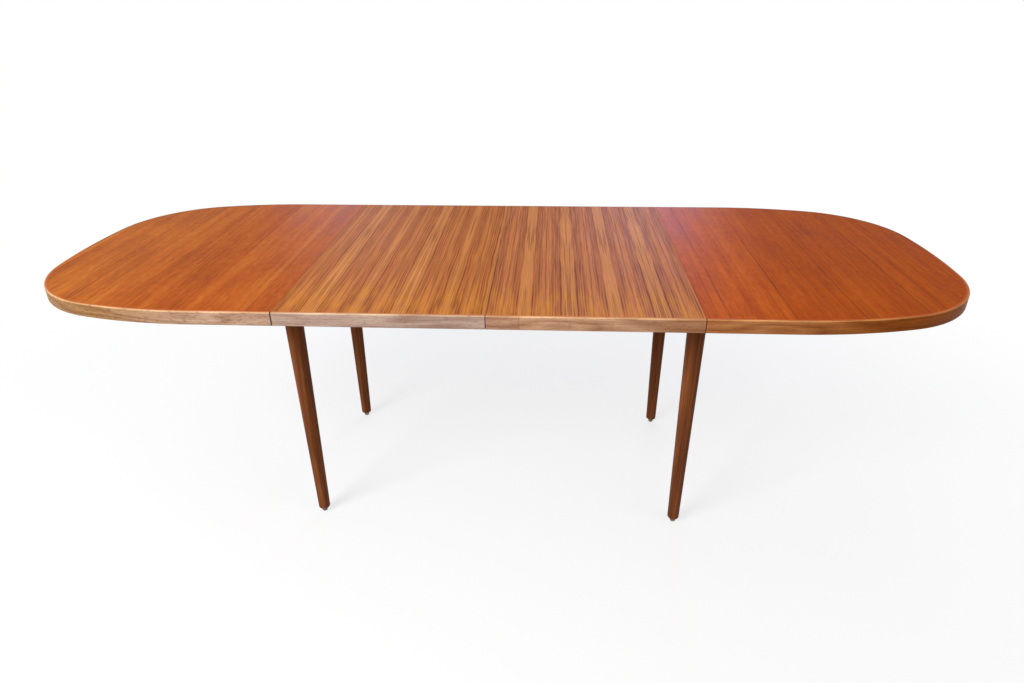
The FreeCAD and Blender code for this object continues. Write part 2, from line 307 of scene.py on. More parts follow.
    def mix(self, share: Any, first: Any, second: Any, mode: str = "MIX") -> Socket:
        """Blend of two colours, with a share of the second, by Blender's name of the blend mode."""
        node = self.add("ShaderNodeMix", {0: share, 6: first, 7: second}, data_type="RGBA", blend_type=mode)
        return node.outputs[2]

    def tinted(self, colour: Socket, tint: Any) -> Socket:
        """Colour multiplied by a tint."""
        return self.mix(1.0, colour, tint, "MULTIPLY")

    def shade(self, colour: Socket, amount: Socket) -> Socket:
        """Colour darkened or lightened by a grey amount near 1."""
        return self.tinted(colour, self.vector(amount, amount, amount))

    def tipped(self, colour: Socket, reach: Span, tint: Colour) -> Socket:
        """Colour that takes on a tint over a span of distances from the middle of the table along X."""
        distance = self.math("ABSOLUTE", self.place(Grain.ALONG_X)[0])
        return self.mix(self.span(distance, *reach), colour, self.tinted(colour, tint))

    def seen(self) -> Socket:
        """Tell the rays that show a thing from those that only carry its light.

        Returns:
            Socket of 1 for rays of the camera, of reflections and through clear pieces, and 0 for others.
        """
        rays = self.add("ShaderNodeLightPath", {}).outputs
        indirect = self.math("MAXIMUM", rays["Is Glossy Ray"], rays["Is Transmission Ray"])
        return self.math("MAXIMUM", rays["Is Camera Ray"], indirect)

    def blend(self, share: Socket, first: bpy.types.Node, second: bpy.types.Node) -> bpy.types.Node:
        """Blend of two shaders, with a share of the second."""
        return self.add("ShaderNodeMixShader", {0: share, 1: first.outputs[0], 2: second.outputs[0]})

    def coated(self, colour: Any, roughness: Any, height: Socket, depth: float, specular: float,
               metallic: float = 0.0) -> Material:
        """Close the recipe with a shader.

        Args:
            colour: Base colour.
            roughness: Roughness.
            height: Relief from 0 to 1.
            depth: Depth of the relief in metres.
            specular: Specular level, the same all over.
            metallic: Share of metal, the same all over.

        Returns:
            The finished material.
        """
        bump = self.add("ShaderNodeBump", {"Strength": 1.0, "Distance": depth, "Height": height})
        inputs = {"Base Color": colour, "Roughness": roughness, "Normal": bump.outputs[0],
                  "Specular IOR Level": specular, "Metallic": metallic}
        shader = self.add("ShaderNodeBsdfPrincipled", inputs)
        self.add("ShaderNodeOutputMaterial", {"Surface": shader.outputs[0]})
        return self.block


# Kinds of finish

@dataclass(frozen=True)
class Shades:
    """Light, middle and dark colour of a wood, as display colours."""

    light: Display
    middle: Display
    dark: Display

    def stops(self) -> Stops:
        """Linear colours of a ramp from dark to light."""
        return (0.0, linear(self.dark)), (MIDDLE_TONE, linear(self.middle)), (1.0, linear(self.light))


@dataclass(frozen=True, kw_only=True)
class Wood:
    """What all woods share: streaks along the grain, fine hairs and short pores, in colour and as relief.

    The fine tone is the brightness where there are no hairs and pores. Streaks and mottle vary the gloss.
    Pores and hairs are sunk into the relief by their shares of its depth.
    """

    name: str
    seed: float = 0.0
    roughness: float = 0.5
    specular: float = 0.08
    streak_gloss: float = 0.12
    mottle_gloss: float = 0.16
    depth: float = 0.00008
    pore_share: float = -0.8
    hair_share: float = -0.4
    fine_tone: float
    streaks: Pattern
    hairs: Pattern
    pores: Pattern

    def fine(self, recipe: Recipe, colour: Socket, hairs: Layer, pores: Layer) -> Socket:
        """Colour darkened by hairs and pores."""
        return recipe.shade(colour, recipe.moved(recipe.moved(self.fine_tone, hairs), pores))

    def closed(self, recipe: Recipe, colour: Socket, streaks: Layer, hairs: Layer, pores: Layer,
               mottle: Layer) -> Material:
        """Close a recipe with the gloss and the relief of the wood.

        Args:
            recipe: Recipe under way.
            colour: Finished colour.
            streaks: Drawn streaks.
            hairs: Drawn hairs.
            pores: Drawn pores.
            mottle: Drawn patches, clouds or blotches.

        Returns:
            The finished material.
        """
        roughness = recipe.vary(self.roughness, streaks.noise, self.streak_gloss)
        roughness = recipe.vary(roughness, mottle.noise, self.mottle_gloss)
        height = recipe.math("MULTIPLY_ADD", hairs.noise, self.hair_share, streaks.noise)
        height = recipe.math("MULTIPLY_ADD", pores.noise, self.pore_share, height)
        return recipe.coated(colour, roughness, height, self.depth, self.specular)


@dataclass(frozen=True, kw_only=True)
class SolidWood(Wood):
    """Solid or plain wood: growth rings drawn out along the grain, which wander by so many rings."""

    shades: Shades
    grain: Grain
    rings_per_metre: float = 70.0
    ring_slant: float = 0.6
    wander: float = 6.4
    contrast: float = 0.7
    streak_gloss: float = 0.16
    mottle_gloss: float = 0.2
    depth: float = 0.00012
    fine_tone: float = 1.05
    drift: Pattern = Pattern(2.2, 14.0)
    streaks: Pattern = Pattern(5.0, 420.0, 3.0, 0.6, seed=3.0, amount=1.3)
    hairs: Pattern = Pattern(11.0, 1500.0, seed=5.0, window=(0.5, 0.66), amount=-0.22)
    pores: Pattern = Pattern(28.0, 900.0, 1.0, seed=7.0, window=(0.62, 0.78), amount=-0.3)
    patches: Pattern = Pattern(3.5, 18.0, seed=11.0, amount=0.7)

    def worn(self, recipe: Recipe, colour: Socket, place: Place) -> Socket:
        """Colour with its marks and painted light, of which plain wood has none."""
        return colour

    def material(self) -> Material:
        """Make the material.

        Rings are a wave across the grain, whose phase wanders with slow noise. That draws long arches.

        Returns:
            The finished material.
        """
        recipe = Recipe(bpy.data.materials.new(self.name))
        place = recipe.place(self.grain)
        drift, streaks, hairs, pores, patches = recipe.patterns(
            place, self.seed, self.drift, self.streaks, self.hairs, self.pores, self.patches)
        across = recipe.math("MULTIPLY_ADD", place[2], self.ring_slant, place[1])
        wander = recipe.math("MULTIPLY", drift.noise, self.wander)
        phase = recipe.math("MULTIPLY_ADD", across, self.rings_per_metre, wander)
        rings = recipe.math("PINGPONG", phase, 1.0)
        tone = recipe.layered(recipe.vary(MIDDLE_TONE, rings, self.contrast), patches, streaks)
        colour = self.fine(recipe, recipe.ramp(tone, self.shades.stops()), hairs, pores)
        return self.closed(recipe, self.worn(recipe, colour, place), streaks, hairs, pores, patches)


@dataclass(frozen=True, kw_only=True)
class LippingWood(SolidWood):
    """Wood of a lipping, whose map runs along it, and round it from 0 at the start of the rounded edge.

    Flecks are short dark dashes. The tip tint colours the piece over a span of distances along X. A splice
    is a glued joint at that length, with a tint before it and a dark line on it. A painted highlight makes
    the arris paler at the front. Past it the veneer's colour laps over, with painted shade at the back.
    Painted shade of the seam gap darkens that length at the start.
    """

    grain: Grain = Grain.ALONG_UV
    rings_per_metre: float = 90.0
    wander: float = 12.0
    contrast: float = 0.55
    flecks: float
    dashes: Pattern = Pattern(75.0, 250.0, 1.0, seed=13.0)
    dash_window: Span = (0.52, 0.68)
    tip_tint: Colour
    tip_span: Span
    splice: float | None = None
    splice_tint: Colour = (0.84, 0.83, 0.87)
    splice_half: float = 0.0005
    splice_line: Span = (0.0004, 0.0016)
    splice_shade: float = 0.75
    # tint of the painted highlight on the front arris
    arris_highlight_tint: Colour
    arris_rise: Span = (0.0004, 0.002)
    arris_fall: Span = (0.0062, 0.0042)
    plain_share: float = 0.5
    front_span: Span = (0.12, -0.12)
    lapped: Display
    lap_rise: Span = (0.0046, 0.0056)
    lap_share: float = 0.85
    # share of the lap's colour kept under the painted shade at the back
    back_shade: float = 0.42
    # length of the painted shade of the seam gap, from the start
    grime: float
    grime_core: float = 0.2
    grime_shade: float = 0.25

    def spliced(self, recipe: Recipe, colour: Socket, along: Socket) -> Socket:
        """Colour with the glued joint.

        Args:
            recipe: Recipe under way.
            colour: Colour so far.
            along: Place along the grain.

        Returns:
            The colour's socket.
        """
        past = recipe.math("SUBTRACT", along, self.splice)
        before = recipe.span(past, self.splice_half, -self.splice_half)
        colour = recipe.mix(before, colour, recipe.tinted(colour, self.splice_tint))
        away = recipe.math("ABSOLUTE", past)
        return recipe.shade(colour, recipe.span(away, *self.splice_line, self.splice_shade, 1.0))

    def arris_highlight_and_lap(self, recipe: Recipe, colour: Socket, plain: Socket, around: Socket) -> Socket:
        """Colour with a painted highlight on the arris and the veneer's lap, with painted shade at the back.

        Args:
            recipe: Recipe under way.
            colour: Colour so far.
            plain: Colour without the tints of the tip and the splice, which shows through on the arris.
            around: Way round the section.

        Returns:
            The colour's socket.
        """
        front = recipe.span(recipe.place(Grain.ALONG_Y)[0], *self.front_span)
        rise = recipe.span(around, *self.arris_rise)
        edge = recipe.math("MULTIPLY", rise, recipe.span(around, *self.arris_fall))
        # painted highlight: the arris is tinted paler at the front
        pale = recipe.tinted(recipe.mix(self.plain_share, colour, plain), self.arris_highlight_tint)
        lapped = linear(self.lapped)
        # painted shade: the lap is darkened at the back, a dark line along the back rim
        shaded = tuple(channel * self.back_shade for channel in lapped)
        lap = recipe.span(around, *self.lap_rise, 0.0, self.lap_share)
        colour = recipe.mix(lap, colour, recipe.mix(front, shaded, lapped))
        return recipe.mix(recipe.math("MULTIPLY", edge, front), colour, pale)

    def worn(self, recipe: Recipe, colour: Socket, place: Place) -> Socket:
        """Colour with flecks, tints, splice, painted highlight on the arris and painted shade at the seam.

        Args:
            recipe: Recipe under way.
            colour: Colour of the bare wood.
            place: Coordinates along the grain and across it.

        Returns:
            The colour's socket.
        """
        dashes, = recipe.patterns(place, self.seed, self.dashes)
        plain = recipe.shade(colour, recipe.span(dashes.noise, *self.dash_window, 1.0, 1.0 - self.flecks))
        colour = recipe.tipped(plain, self.tip_span, self.tip_tint)
        if self.splice is not None:
            colour = self.spliced(recipe, colour, place[0])
        # painted highlight on the front arris, and painted shade on the lap at the back
        colour = self.arris_highlight_and_lap(recipe, colour, plain, place[1])
        # painted shade of the seam gap at the start
        grime = recipe.span(place[0], self.grime * self.grime_core, self.grime, self.grime_shade, 1.0)
        return recipe.shade(colour, grime)


@dataclass(frozen=True, kw_only=True)
class EndVeneer(Wood):
    """Straight-grained veneer of an end top, laid in even flitches with a thin dark line at each joint.

    Towards the tip the wood takes the tint of its outer flitches.
    """

    shades: Shades
    line: Display
    tip_tint: Colour
    tip_span: Span
    first_joint: float
    flitch: float = 0.153
    flitch_contrast: float = 0.25
    line_span: Span = (0.003, 0.009)
    line_strength: float = 0.9
    roughness: float = 0.4
    specular: float = 0.011
    fine_tone: float = 0.96
    sway: Pattern = Pattern(2.0, 3.0, 1.0, seed=5.0, amount=0.014)
    breaks: Pattern = Pattern(7.0, 9.0, seed=2.0, window=(0.35, 0.6), results=(0.25, 1.0))
    bands: Pattern = Pattern(0.7, 24.0, 2.0, 0.6)
    veins: Pattern = Pattern(1.2, 240.0, seed=4.0, window=(0.58, 0.68), amount=0.42)
    streaks: Pattern = Pattern(5.0, 320.0, 3.0, 0.65, seed=3.0, amount=0.85)
    flecks: Pattern = Pattern(38.0, 70.0, seed=9.0, amount=0.65)
    clouds: Pattern = Pattern(5.0, 7.0, seed=13.0, amount=0.85)
    hairs: Pattern = Pattern(10.0, 1400.0, seed=6.0, window=(0.5, 0.66), amount=-0.18)
    pores: Pattern = Pattern(30.0, 900.0, 1.0, seed=7.0, window=(0.62, 0.8), amount=-0.2)

    def material(self) -> Material:
        """Make the material.

        The place across, counted in flitches from the first joint, gives each flitch a tone of its own and
        draws the line where one ends. Veins are thin dark lines where slow noise across the grain runs high.

        Returns:
            The finished material.
        """
        recipe = Recipe(bpy.data.materials.new(self.name))
        along, across, _ = recipe.place(Grain.ALONG_Y)
        place = (along, across, across)
        sway, breaks, flecks, clouds, pores = recipe.patterns(
            place, self.seed, self.sway, self.breaks, self.flecks, self.clouds, self.pores)
        shifted = recipe.layered(across, sway)
        straight = (along, shifted, shifted)
        bands, veins, streaks, hairs = recipe.patterns(
            straight, self.seed, self.bands, self.veins, self.streaks, self.hairs)
        count = recipe.math("DIVIDE", recipe.math("SUBTRACT", shifted, self.first_joint), self.flitch)
        own_tone = recipe.chance(recipe.math("ADD", recipe.math("FLOOR", count), self.seed))
        to_joint = recipe.math("PINGPONG", count, 0.5)
        line = recipe.span(to_joint, *self.line_span, self.line_strength, 0.0)
        dark = recipe.moved(recipe.math("MULTIPLY", line, breaks.noise), veins)
        tone = recipe.vary(MIDDLE_TONE, own_tone, self.flitch_contrast)
        tone = recipe.layered(tone, bands, streaks, flecks, clouds)
        colour = recipe.tipped(recipe.ramp(tone, self.shades.stops()), self.tip_span, self.tip_tint)
        colour = self.fine(recipe, recipe.mix(dark, colour, linear(self.line)), hairs, pores)
        return self.closed(recipe, colour, streaks, hairs, pores, clouds)


@dataclass(frozen=True, kw_only=True)
class LeafVeneer(Wood):
    """Striped veneer of a leaf, laid in flitches that mirror each other at every joint.

    Its broad zones and its thin dark lines are given by their shares of a flitch, from its narrow bright
    joint to its wide one. Each line has a strength of its own. Gold shows near the front and at the kink.
    """

    bright: Display
    light: Display
    middle: Display
    brown: Display
    line: Display
    gold: Display
    bright_joint: float
    bright_share: float
    bright_fall: float = 0.03
    flitch: float = 0.105
    flitch_drift: float = 0.05
    line_shares: tuple[Span, ...] = (
        (0.17, 0.85), (0.235, 0.5), (0.305, 0.65), (0.47, 0.4), (0.63, 0.9), (0.69, 0.75), (0.745, 0.6),
        (0.81, 1.0))
    line_half_share: float = 0.007
    line_reach_share: float = 0.025
    kink_place: float = -0.06
    kink_reach: float = 0.034
    kink_shift: float = 0.0015
    kink_gold: float = 0.4
    still_edge: float = 0.02
    gold_span: Span = (-0.2, -0.36)
    gold_window: Span = (0.4, 0.62)
    gold_results: Span = (0.05, 0.62)
    specular: float = 0.02
    fine_tone: float = 0.93
    sway: Pattern = Pattern(2.4, 16.0, 2.0, 0.55, amount=0.008)
    waves: Pattern = Pattern(11.0, 26.0, amount=0.0042)
    blotches: Pattern = Pattern(11.0, 40.0, 3.0)
    fade: Pattern = Pattern(7.0, 80.0, 2.0, 0.6, window=(0.34, 0.62), results=(0.2, 0.9))
    lines: Pattern = Pattern(4.0, 280.0, 2.0, 0.6, window=(0.52, 0.66), amount=0.58)
    veins: Pattern = Pattern(2.6, 130.0, 2.0, 0.6, window=(0.53, 0.66), amount=0.36)
    streaks: Pattern = Pattern(4.0, 380.0, 3.0, 0.65, amount=0.6)
    hairs: Pattern = Pattern(9.0, 1400.0, window=(0.5, 0.66), amount=-0.22)
    bands: Pattern = Pattern(1.5, 70.0, 2.0, 0.55, amount=0.25)
    pores: Pattern = Pattern(30.0, 900.0, 1.0, window=(0.62, 0.8), amount=-0.18)
    clouds: Pattern = Pattern(6.0, 45.0, amount=0.4)

    def zones(self) -> Stops:
        """Places of the broad zones and their colours.

        Returns:
            Shares of a flitch and linear colours.
        """
        places = (
            (0.0, self.bright), (self.bright_share, self.light),
            (self.bright_share + self.bright_fall, self.brown), (0.33, self.brown), (0.4, self.middle),
            (0.56, self.middle), (0.62, self.brown), (0.66, self.middle), (0.71, self.brown),
            (0.77, self.middle), (0.82, self.brown), (0.86, self.light), (0.93, self.bright),
            (1.0, self.light),
        )
        return [(place, linear(colour)) for place, colour in places]

    def drawn_lines(self) -> Stops:
        """Places of the dark lines.

        Returns:
            Shares of a flitch with black between the lines, and on each line a grey of its strength.
        """
        stops: list[tuple[float, Colour]] = []
        for place, strength in self.line_shares:
            grey = (strength, strength, strength)
            for way, colour in ((-self.line_reach_share, BLACK), (-self.line_half_share, grey),
                                (self.line_half_share, grey), (self.line_reach_share, BLACK)):
                stops.append((place + way, colour))
        return stops

    def kink(self, recipe: Recipe, along: Socket) -> Socket:
        """Bend in the grain: 2 to the power of minus the squared distance from its place, in reaches.

        Args:
            recipe: Recipe under way.
            along: Place along the grain.

        Returns:
            Socket of 1 at the kink, falling to 0 away from it.
        """
        distance = recipe.math("DIVIDE", recipe.math("SUBTRACT", along, self.kink_place), self.kink_reach)
        squared = recipe.math("POWER", distance, 2.0)
        return recipe.math("POWER", 2.0, recipe.math("MULTIPLY", squared, -1.0))

    def material(self) -> Material:
        """Make the material.

        The distance from the nearest bright joint runs up and down across the leaf, so that what is drawn
        with it comes out mirrored in every second flitch. Slow noise and the kink bend it between joints.

        Returns:
            The finished material.
        """
        recipe = Recipe(bpy.data.materials.new(self.name))
        along, across, _ = recipe.place(Grain.ALONG_Y)
        from_joint = recipe.math("SUBTRACT", across, self.bright_joint)
        distance = recipe.math("PINGPONG", from_joint, self.flitch)
        number = recipe.math("FLOOR", recipe.math("DIVIDE", from_joint, self.flitch))
        drift = recipe.math("MULTIPLY_ADD", number, self.flitch_drift, self.seed)
        sway, waves, blotches = recipe.patterns(
            (along, distance, distance), drift, self.sway, self.waves, self.blotches)
        kink = self.kink(recipe, along)
        shift = recipe.layered(recipe.math("MULTIPLY", kink, self.kink_shift), sway, waves)
        inside = recipe.math("PINGPONG", distance, self.flitch / 2)
        bent = recipe.math("MULTIPLY_ADD", recipe.span(inside, 0.0, self.still_edge), shift, distance)
        share = recipe.math("DIVIDE", bent, self.flitch)
        fade, lines, veins, streaks, hairs, bands, pores, clouds = recipe.patterns(
            (along, bent, bent), drift, self.fade, self.lines, self.veins, self.streaks, self.hairs,
            self.bands, self.pores, self.clouds)
        tone = recipe.moved(recipe.layered(self.fine_tone, streaks, hairs, bands, clouds), pores)
        near_front = recipe.span(along, *self.gold_span)
        golden = recipe.math("MAXIMUM", near_front, recipe.math("MULTIPLY", kink, self.kink_gold))
        patchy = recipe.span(blotches.noise, *self.gold_window, *self.gold_results)
        zones = recipe.ramp(share, self.zones())
        colour = recipe.mix(recipe.math("MULTIPLY", golden, patchy), zones, linear(self.gold))
        colour = recipe.shade(colour, tone)
        drawn = Layer(recipe.ramp(share, self.drawn_lines()), fade.noise)
        for dark in (drawn, lines, veins):
            colour = recipe.mix(recipe.math("MULTIPLY", *dark), colour, linear(self.line))
        return self.closed(recipe, colour, streaks, hairs, pores, blotches)


@dataclass(frozen=True, kw_only=True)
class WornMetal:
    """Plated metal with fine scratches and dull patches."""

    name: str
    bright: Display
    dull: Display
    roughness: float = 0.25
    specular: float = 0.5
    depth: float = 0.00005
    patches: Pattern = Pattern(260.0, 260.0, 3.0, 0.6, amount=0.3)
    scratches: Pattern = Pattern(300.0, 2600.0, seed=2.0)
    dull_window: Span = (0.35, 0.65)

    def material(self) -> Material:
        """Make the material.

        Returns:
            The finished material.
        """
        recipe = Recipe(bpy.data.materials.new(self.name))
        place = recipe.place(Grain.ALONG_X)
        patches, scratches = recipe.patterns(place, 0.0, self.patches, self.scratches)
        dull = recipe.span(patches.noise, *self.dull_window)
        colour = recipe.mix(dull, linear(self.bright), linear(self.dull))
        roughness = recipe.moved(self.roughness, patches)
        return recipe.coated(colour, roughness, scratches.noise, self.depth, self.specular, 1.0)


# Finishes of this table

BEECH = Shades((206, 164, 118), (186, 140, 96), (158, 112, 74))
RAIL_TEAK = Shades((158, 100, 58), (132, 78, 42), (98, 54, 28))
PALE_TEAK = Shades((212, 168, 122), (186, 140, 98), (150, 104, 66))


class Stock(Enum):
    """Finishes that many pieces share, each made once."""

    BEECH_ALONG = SolidWood(name="beech_along", shades=BEECH, grain=Grain.ALONG_X, roughness=0.6)
    BEECH_ACROSS = SolidWood(name="beech_across", shades=BEECH, grain=Grain.ALONG_Y, roughness=0.6)
    RAIL_ALONG = SolidWood(name="rail_teak_along", shades=RAIL_TEAK, grain=Grain.ALONG_X)
    RAIL_ACROSS = SolidWood(name="rail_teak_across", shades=RAIL_TEAK, grain=Grain.ALONG_Y, seed=3.0)
    BACKING = SolidWood(
        name="backing_veneer", shades=Shades((176, 128, 82), (158, 108, 66), (130, 84, 50)),
        grain=Grain.ALONG_Y, rings_per_metre=22.0, wander=4.8, contrast=0.4, roughness=0.62, specular=0.15,
        seed=5.0)
    CORE = SolidWood(
        name="core_board", shades=Shades((222, 190, 140), (204, 168, 118), (176, 138, 92)),
        grain=Grain.ALONG_Y, rings_per_metre=40.0, wander=4.0, contrast=0.4, roughness=0.7, specular=0.1,
        seed=8.0)
    STRIP = SolidWood(
        name="strip_teak", shades=PALE_TEAK, grain=Grain.ALONG_Y, rings_per_metre=60.0, seed=2.0)
    PACKER = SolidWood(
        name="packer_teak", shades=PALE_TEAK, grain=Grain.ALONG_UV, rings_per_metre=90.0, wander=8.8,
        contrast=0.4, roughness=0.6, specular=0.1, seed=9.0)
    # Leg teak: its own dark colour, darkened further by painted shade from the top above.
    LEG = SolidWood(
        name="leg_teak", shades=Shades((148, 88, 49), (119, 67, 37), (86, 45, 24)), grain=Grain.ALONG_Z,
        rings_per_metre=110.0, wander=4.0, contrast=0.4, roughness=0.48, specular=0.05)
    SCREW = WornMetal(name="screw_plating", bright=(196, 188, 162), dull=(128, 118, 96))
    GLIDE = WornMetal(name="glide_plating", bright=(148, 140, 138), dull=(84, 76, 74))

    @cache
    def material(self) -> Material:
        """Material of this finish."""
        return self.value.material()


END_VENEERS = {
    Side.LEFT: EndVeneer(
        name="left_end_veneer", seed=1.0, first_joint=-0.553,
        shades=Shades((204, 117, 45), (184, 91, 29), (152, 67, 19)), line=(106, 47, 18),
        tip_tint=(1.1, 1.36, 1.62), tip_span=(0.7, 1.1)),
    Side.RIGHT: EndVeneer(
        name="right_end_veneer", seed=6.0, first_joint=0.547,
        shades=Shades((205, 101, 29), (183, 81, 19), (151, 57, 13)), line=(98, 38, 14),
        tip_tint=(0.86, 0.83, 0.34), tip_span=(0.55, 0.85)),
}
LEAF_VENEERS = {
    Side.LEFT: LeafVeneer(
        name="left_leaf_veneer", seed=1.0, bright_joint=-0.095, bright_share=0.075, bright=(196, 126, 64),
        light=(191, 119, 59), middle=(187, 112, 54), brown=(179, 103, 49), line=(110, 46, 9),
        gold=(206, 132, 46)),
    Side.RIGHT: LeafVeneer(
        name="right_leaf_veneer", seed=3.0, bright_joint=0.087, bright_share=0.12, bright=(198, 128, 69),
        light=(193, 121, 64), middle=(188, 113, 62), brown=(178, 104, 58), line=(106, 46, 16),
        gold=(204, 132, 50)),
}
# Each lipping's arris tint is a painted highlight, and its darkened start is painted shade of the seam gap.
END_LIPPINGS = {
    Side.LEFT: LippingWood(
        name="left_end_lipping", seed=1.0, shades=Shades((206, 173, 148), (183, 149, 126), (152, 114, 90)),
        tip_tint=(0.63, 0.51, 0.3), tip_span=(0.6, 0.95), arris_highlight_tint=(1.53, 1.48, 1.18),
        lapped=END_VENEERS[Side.LEFT].shades.middle, grime=0.0028, flecks=0.3),
    Side.RIGHT: LippingWood(
        name="right_end_lipping", seed=2.0, shades=Shades((188, 126, 78), (164, 103, 60), (130, 74, 40)),
        tip_tint=(0.72, 0.5, 0.13), tip_span=(0.6, 0.95), arris_highlight_tint=(1.57, 1.85, 1.9),
        lapped=END_VENEERS[Side.RIGHT].shades.middle, grime=0.0016, flecks=0.15),
}
LEAF_LIPPINGS = {
    # The greyish tone of this lipping is partly its own colour, partly painted cool light from the front
    # left.
    Side.LEFT: LippingWood(
        name="left_leaf_lipping", seed=3.0, shades=Shades((198, 172, 156), (177, 149, 136), (148, 116, 100)),
        tip_tint=WHITE, tip_span=(0.34, 0.49), arris_highlight_tint=(1.43, 1.38, 1.1),
        lapped=LEAF_VENEERS[Side.LEFT].middle, grime=0.0022, flecks=0.18),
    Side.RIGHT: LippingWood(
        name="right_leaf_lipping", seed=5.0, shades=Shades((208, 164, 132), (182, 137, 107), (146, 100, 72)),
        tip_tint=(0.85, 0.75, 0.62), tip_span=(0.34, 0.49), arris_highlight_tint=(1.5, 1.6, 1.35),
        lapped=LEAF_VENEERS[Side.RIGHT].middle, grime=0.0022, flecks=0.18),
}
LEAF_SPLICES = {(Side.RIGHT, Face.FRONT): 0.077}


# Meshes

def linked(name: str, data: bpy.types.ID) -> bpy.types.Object:
    """New object in the scene.

    Args:
        name: Name of the object.
        data: Mesh, light or camera that it shows.

    Returns:
        The new object.
    """
    made = bpy.data.objects.new(name, data)
    bpy.context.scene.collection.objects.link(made)
    return made


def shell(name: str, rings: np.ndarray, uv: np.ndarray | None = None) -> bpy.types.Object:
    """Closed surface through a row of rings, with a flat cap on the first and the last.

    Point n of ring r is joined to its neighbours n + 1 and r + 1, and every ring closes on itself. If the
    signed volume of the quads comes out negative, the rings are taken in reverse, so that faces point out.

    Args:
        name: Name of the object.
        rings: Points in an array of rings by points by 3.
        uv: Map places in an array of rings by points + 1 by 2, or None for no map.

    Returns:
        The new object.
    """
    ring_count, point_count, _ = rings.shape
    ring = np.arange(ring_count - 1)[:, None] * point_count
    point = np.arange(point_count)[None, :]
    following = (point + 1) % point_count
    around = [ring + point, ring + following, ring + point_count + following, ring + point_count + point]
    quads = np.stack(around, -1).reshape(-1, 4)
    corners = rings.reshape(-1, 3)[quads] - rings.mean((0, 1))
    volume = np.einsum("ij,ij->", corners[:, 0], np.cross(corners[:, 1], corners[:, 2]))
    volume += np.einsum("ij,ij->", corners[:, 0], np.cross(corners[:, 2], corners[:, 3]))
    order = slice(None, None, -1 if volume < 0 else 1)
    first = np.arange(point_count)[::-1]
    last = np.arange(point_count) + (ring_count - 1) * point_count
    faces = [*quads.tolist(), first.tolist(), last.tolist()]
    mesh = bpy.data.meshes.new(name)
    mesh.from_pydata(rings[order].reshape(-1, 3).tolist(), [], faces)
    if uv is not None:
        uv = uv[order]
        loops = np.stack([uv[:-1, :-1], uv[:-1, 1:], uv[1:, 1:], uv[1:, :-1]], 2).reshape(-1, 2)
        places = np.concatenate([loops, uv[0, :-1][::-1], uv[-1, :-1]])
        mesh.uv_layers.new(name="grain").data.foreach_set("uv", places.astype(np.float32).ravel())
    mesh.polygons.foreach_set("use_smooth", np.ones(len(faces), bool))
    mesh.set_sharp_from_angle(angle=SMOOTH_ANGLE)
    mesh.update()
    return linked(name, mesh)


def joined(name: str, pieces: Sequence[bpy.types.Object]) -> bpy.types.Object:
    """One object made of several.

    Args:
        name: Name of the joined object.
        pieces: Objects to join, with no modifiers.

    Returns:
        The joined object.
    """
    with bpy.context.temp_override(active_object=pieces[0], selected_editable_objects=list(pieces)):
        bpy.ops.object.join()
    pieces[0].name = name
    pieces[0].data.name = name
    return pieces[0]


def turned(name: str, radii: np.ndarray, levels: np.ndarray, axis: Vector, around: int) -> bpy.types.Object:
    """Turned piece: radius r at level z, swept through a full circle.

    Args:
        name: Name of the object.
        radii: Radius of each ring.
        levels: Level of each ring.
        axis: Any point on the upright axis of the piece.
        around: Points in each ring.

    Returns:
        The new object.
    """
    angle = np.linspace(0, 2 * math.pi, around, endpoint=False)
    rings = np.empty((len(radii), around, 3))
    rings[..., 0] = axis.x + radii[:, None] * np.cos(angle)
    rings[..., 1] = axis.y + radii[:, None] * np.sin(angle)
    rings[..., 2] = levels[:, None]
    return shell(name, rings)


def plate(name: str, outline: np.ndarray, inset_outline: np.ndarray, bottom: float, top: float,
          ease: float) -> bpy.types.Object:
    """Flat plate with an eased top edge: its outline from bottom to top - ease, then its inset one at top.

    Args:
        name: Name of the object.
        outline: Closed outline as points by 2.
        inset_outline: The same points moved inwards by ease.
        bottom: Level of the underside.
        top: Level of the upper face.
        ease: Height of the eased edge.

    Returns:
        The new object.
    """
    rings = np.empty((3, len(outline), 3))
    rings[:2, :, :2] = outline
    rings[2, :, :2] = inset_outline
    rings[:, :, 2] = np.array([bottom, top - ease, top])[:, None]
    return shell(name, rings)


def dress(name: str, stock: Stock, edge: float = 0.0) -> None:
    """Give a solid of the frame its finish, and soften its sharp edges.

    Args:
        name: Node to dress.
        stock: Finish.
        edge: Width of the softened edges, or 0 to leave them.
    """
    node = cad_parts[name]
    node.data.materials.clear()
    node.data.materials.append(stock.material())
    if edge:
        node.modifiers.new("weld", "WELD").merge_threshold = WELD_DISTANCE
        bevel = node.modifiers.new("soft edges", "BEVEL")
        bevel.width = edge
        bevel.segments = SOFT_SEGMENTS
        bevel.limit_method = "ANGLE"
        bevel.angle_limit = SOFT_ANGLE
        bevel.harden_normals = False
    log.info("dressed %s in %s", name, stock.value.name)


def swell(name: str, amount: float) -> None:
    """Push the corners of a solid of the frame outwards along their normals.

    Args:
        name: Node to swell.
        amount: How far the corners move.
    """
    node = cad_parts[name]
    node.modifiers.new("weld", "WELD").merge_threshold = WELD_DISTANCE
    push = node.modifiers.new("swell", "DISPLACE")
    push.mid_level = 0.0
    push.strength = amount


def stand_for(piece: bpy.types.Object, node: str, body: str, material: Material) -> None:
    """Let a new piece stand for a node of the frame and ride on its body.

    Args:
        piece: New piece.
        node: Node that it stands for.
        body: Body that it moves with.
        material: Finish.
    """
    piece.data.materials.append(material)
    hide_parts(node)
    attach(piece, body)
    log.info("built %s with %d faces", piece.name, len(piece.data.polygons))


# Shared shapes of the top

